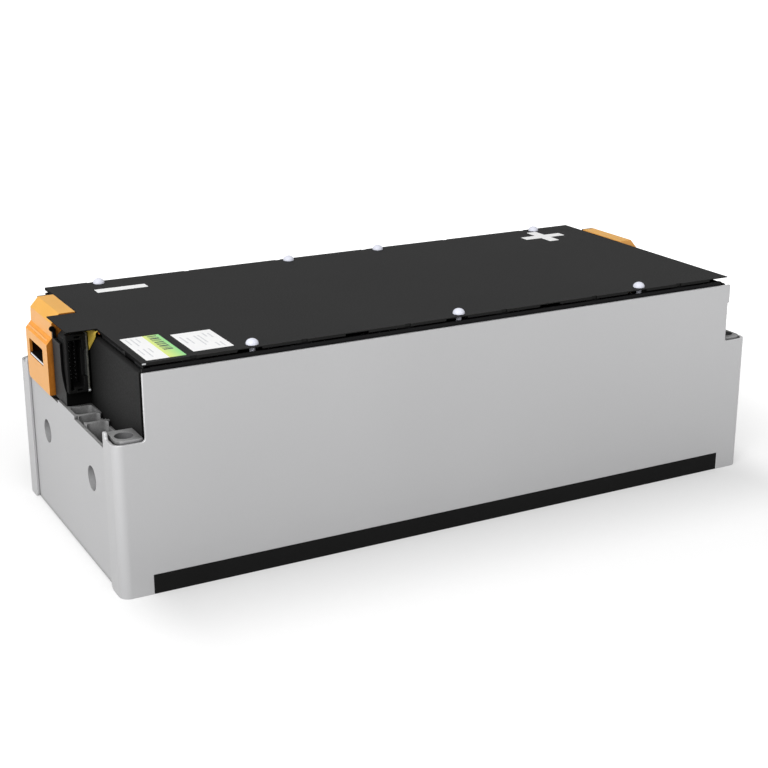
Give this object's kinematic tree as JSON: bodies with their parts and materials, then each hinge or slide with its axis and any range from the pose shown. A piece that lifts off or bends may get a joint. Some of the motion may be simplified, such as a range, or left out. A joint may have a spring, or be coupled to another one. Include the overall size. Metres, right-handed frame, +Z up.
{
  "type": "ev battery module",
  "caption": "Rectangular traction battery module: a row of prismatic cells clamped between end plates by bent side plates, with a thin cover, capped terminals and a signal socket.",
  "frame": {"origin": "middle of the underside, on the surface that the module stands on", "axes": "+X along the row of cells towards the positive terminal, +Y across the row towards the side with the terminals, +Z up"},
  "size_m": [0.3556, 0.1516, 0.1112],
  "materials": {
    "side_plate": "bent sheet, satin mill finish",
    "end_plate": "pressure die casting, light shot blast",
    "insulator": "moulded black plastic, fine grain",
    "film": "thin black insulating film",
    "foot": "moulded black strip",
    "cell_can": "wrapped aluminium can",
    "pad": "soft compression foam",
    "carrier": "moulded black plastic",
    "busbar": "bare bright bar",
    "orange_cover": "moulded orange plastic, semi-gloss",
    "nut": "zinc plated",
    "socket": "moulded black plastic",
    "contact": "tin plated",
    "board": "lacquered circuit board",
    "flex": "amber film over copper",
    "cover": "dark grey sheet, satin",
    "pin": "moulded white plastic",
    "label_banded": "white sticker with a green band",
    "label_plain": "white sticker",
    "mark": "white sticker"
  },
  "bodies": {
    "root": {"banded_label": "label_banded", "bottom_film": "film", "carrier_frame": "carrier", "cell_01": "cell_can", "cell_02": "cell_can", "cell_03": "cell_can", "cell_04": "cell_can", "cell_05": "cell_can", "cell_06": "cell_can", "cell_07": "cell_can", "cell_08": "cell_can", "cell_09": "cell_can", "cell_10": "cell_can", "cell_11": "cell_can", "cell_12": "cell_can", "cell_pads": "pad", "cover_pins": "pin", "end_insulator_left": "insulator", "end_insulator_right": "insulator", "end_pads": "pad", "end_plate_left": "end_plate", "end_plate_right": "end_plate", "flex_circuit": "flex", "foot_strip_front": "foot", "foot_strip_rear": "foot", "minus_mark": "mark", "output_busbar_negative": "busbar", "output_busbar_positive": "busbar", "plain_label": "label_plain", "plus_mark": "mark", "sensing_tabs": "busbar", "series_busbars": "busbar", "side_film_front": "film", "side_film_rear": "film", "side_plate_front": "side_plate", "side_plate_rear": "side_plate", "signal_socket": "socket", "socket_board": "board", "socket_bracket": "carrier", "socket_pins": "contact", "terminal_cover_negative": "orange_cover", "terminal_cover_positive": "orange_cover", "terminal_holder_negative": "insulator", "terminal_holder_positive": "insulator", "terminal_nuts": "nut", "thermistors": "carrier", "top_cover": "cover"}
  },
  "joints": []
}
